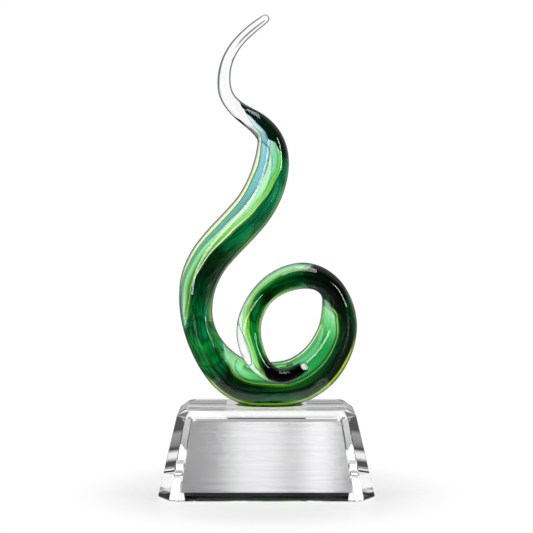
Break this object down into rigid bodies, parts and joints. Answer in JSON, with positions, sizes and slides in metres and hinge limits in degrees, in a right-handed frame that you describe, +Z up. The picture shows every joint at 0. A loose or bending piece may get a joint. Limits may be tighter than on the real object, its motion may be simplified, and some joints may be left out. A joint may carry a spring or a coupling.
{
  "type": "art glass award",
  "caption": "Clear and green art-glass swirl with a curled loop on a faceted crystal base with a bare brushed plate.",
  "frame": {"origin": "middle of the base's underside, on the surface it stands on", "axes": "+Z up, +X to the right of a viewer who faces the plate, +Y away from that viewer"},
  "size_m": [0.1368, 0.085, 0.3058],
  "materials": {
    "crystal": "polished clear crystal",
    "brushed_plate": "brushed side to side",
    "tape": "matt film",
    "clear_bond": "clear glue",
    "clear_glass": "fire-polished",
    "dark_green_glass": "see-through dark green",
    "white_glass": "milky white",
    "lime_glass": "see-through lime",
    "mint_glass": "see-through pale mint",
    "blue_glass": "see-through pale blue",
    "yellow_glass": "see-through yellow"
  },
  "bodies": {
    "root": {"crystal_base": "crystal", "engraving_plate": "brushed_plate", "plate_tape": "tape", "foot_bond": "clear_bond", "clear_casing": "clear_glass", "dark_green_core": "dark_green_glass", "white_thread": "white_glass", "lime_ribbon": "lime_glass", "mint_ribbon": "mint_glass", "blue_ribbon": "blue_glass", "yellow_thread": "yellow_glass"}
  },
  "joints": []
}
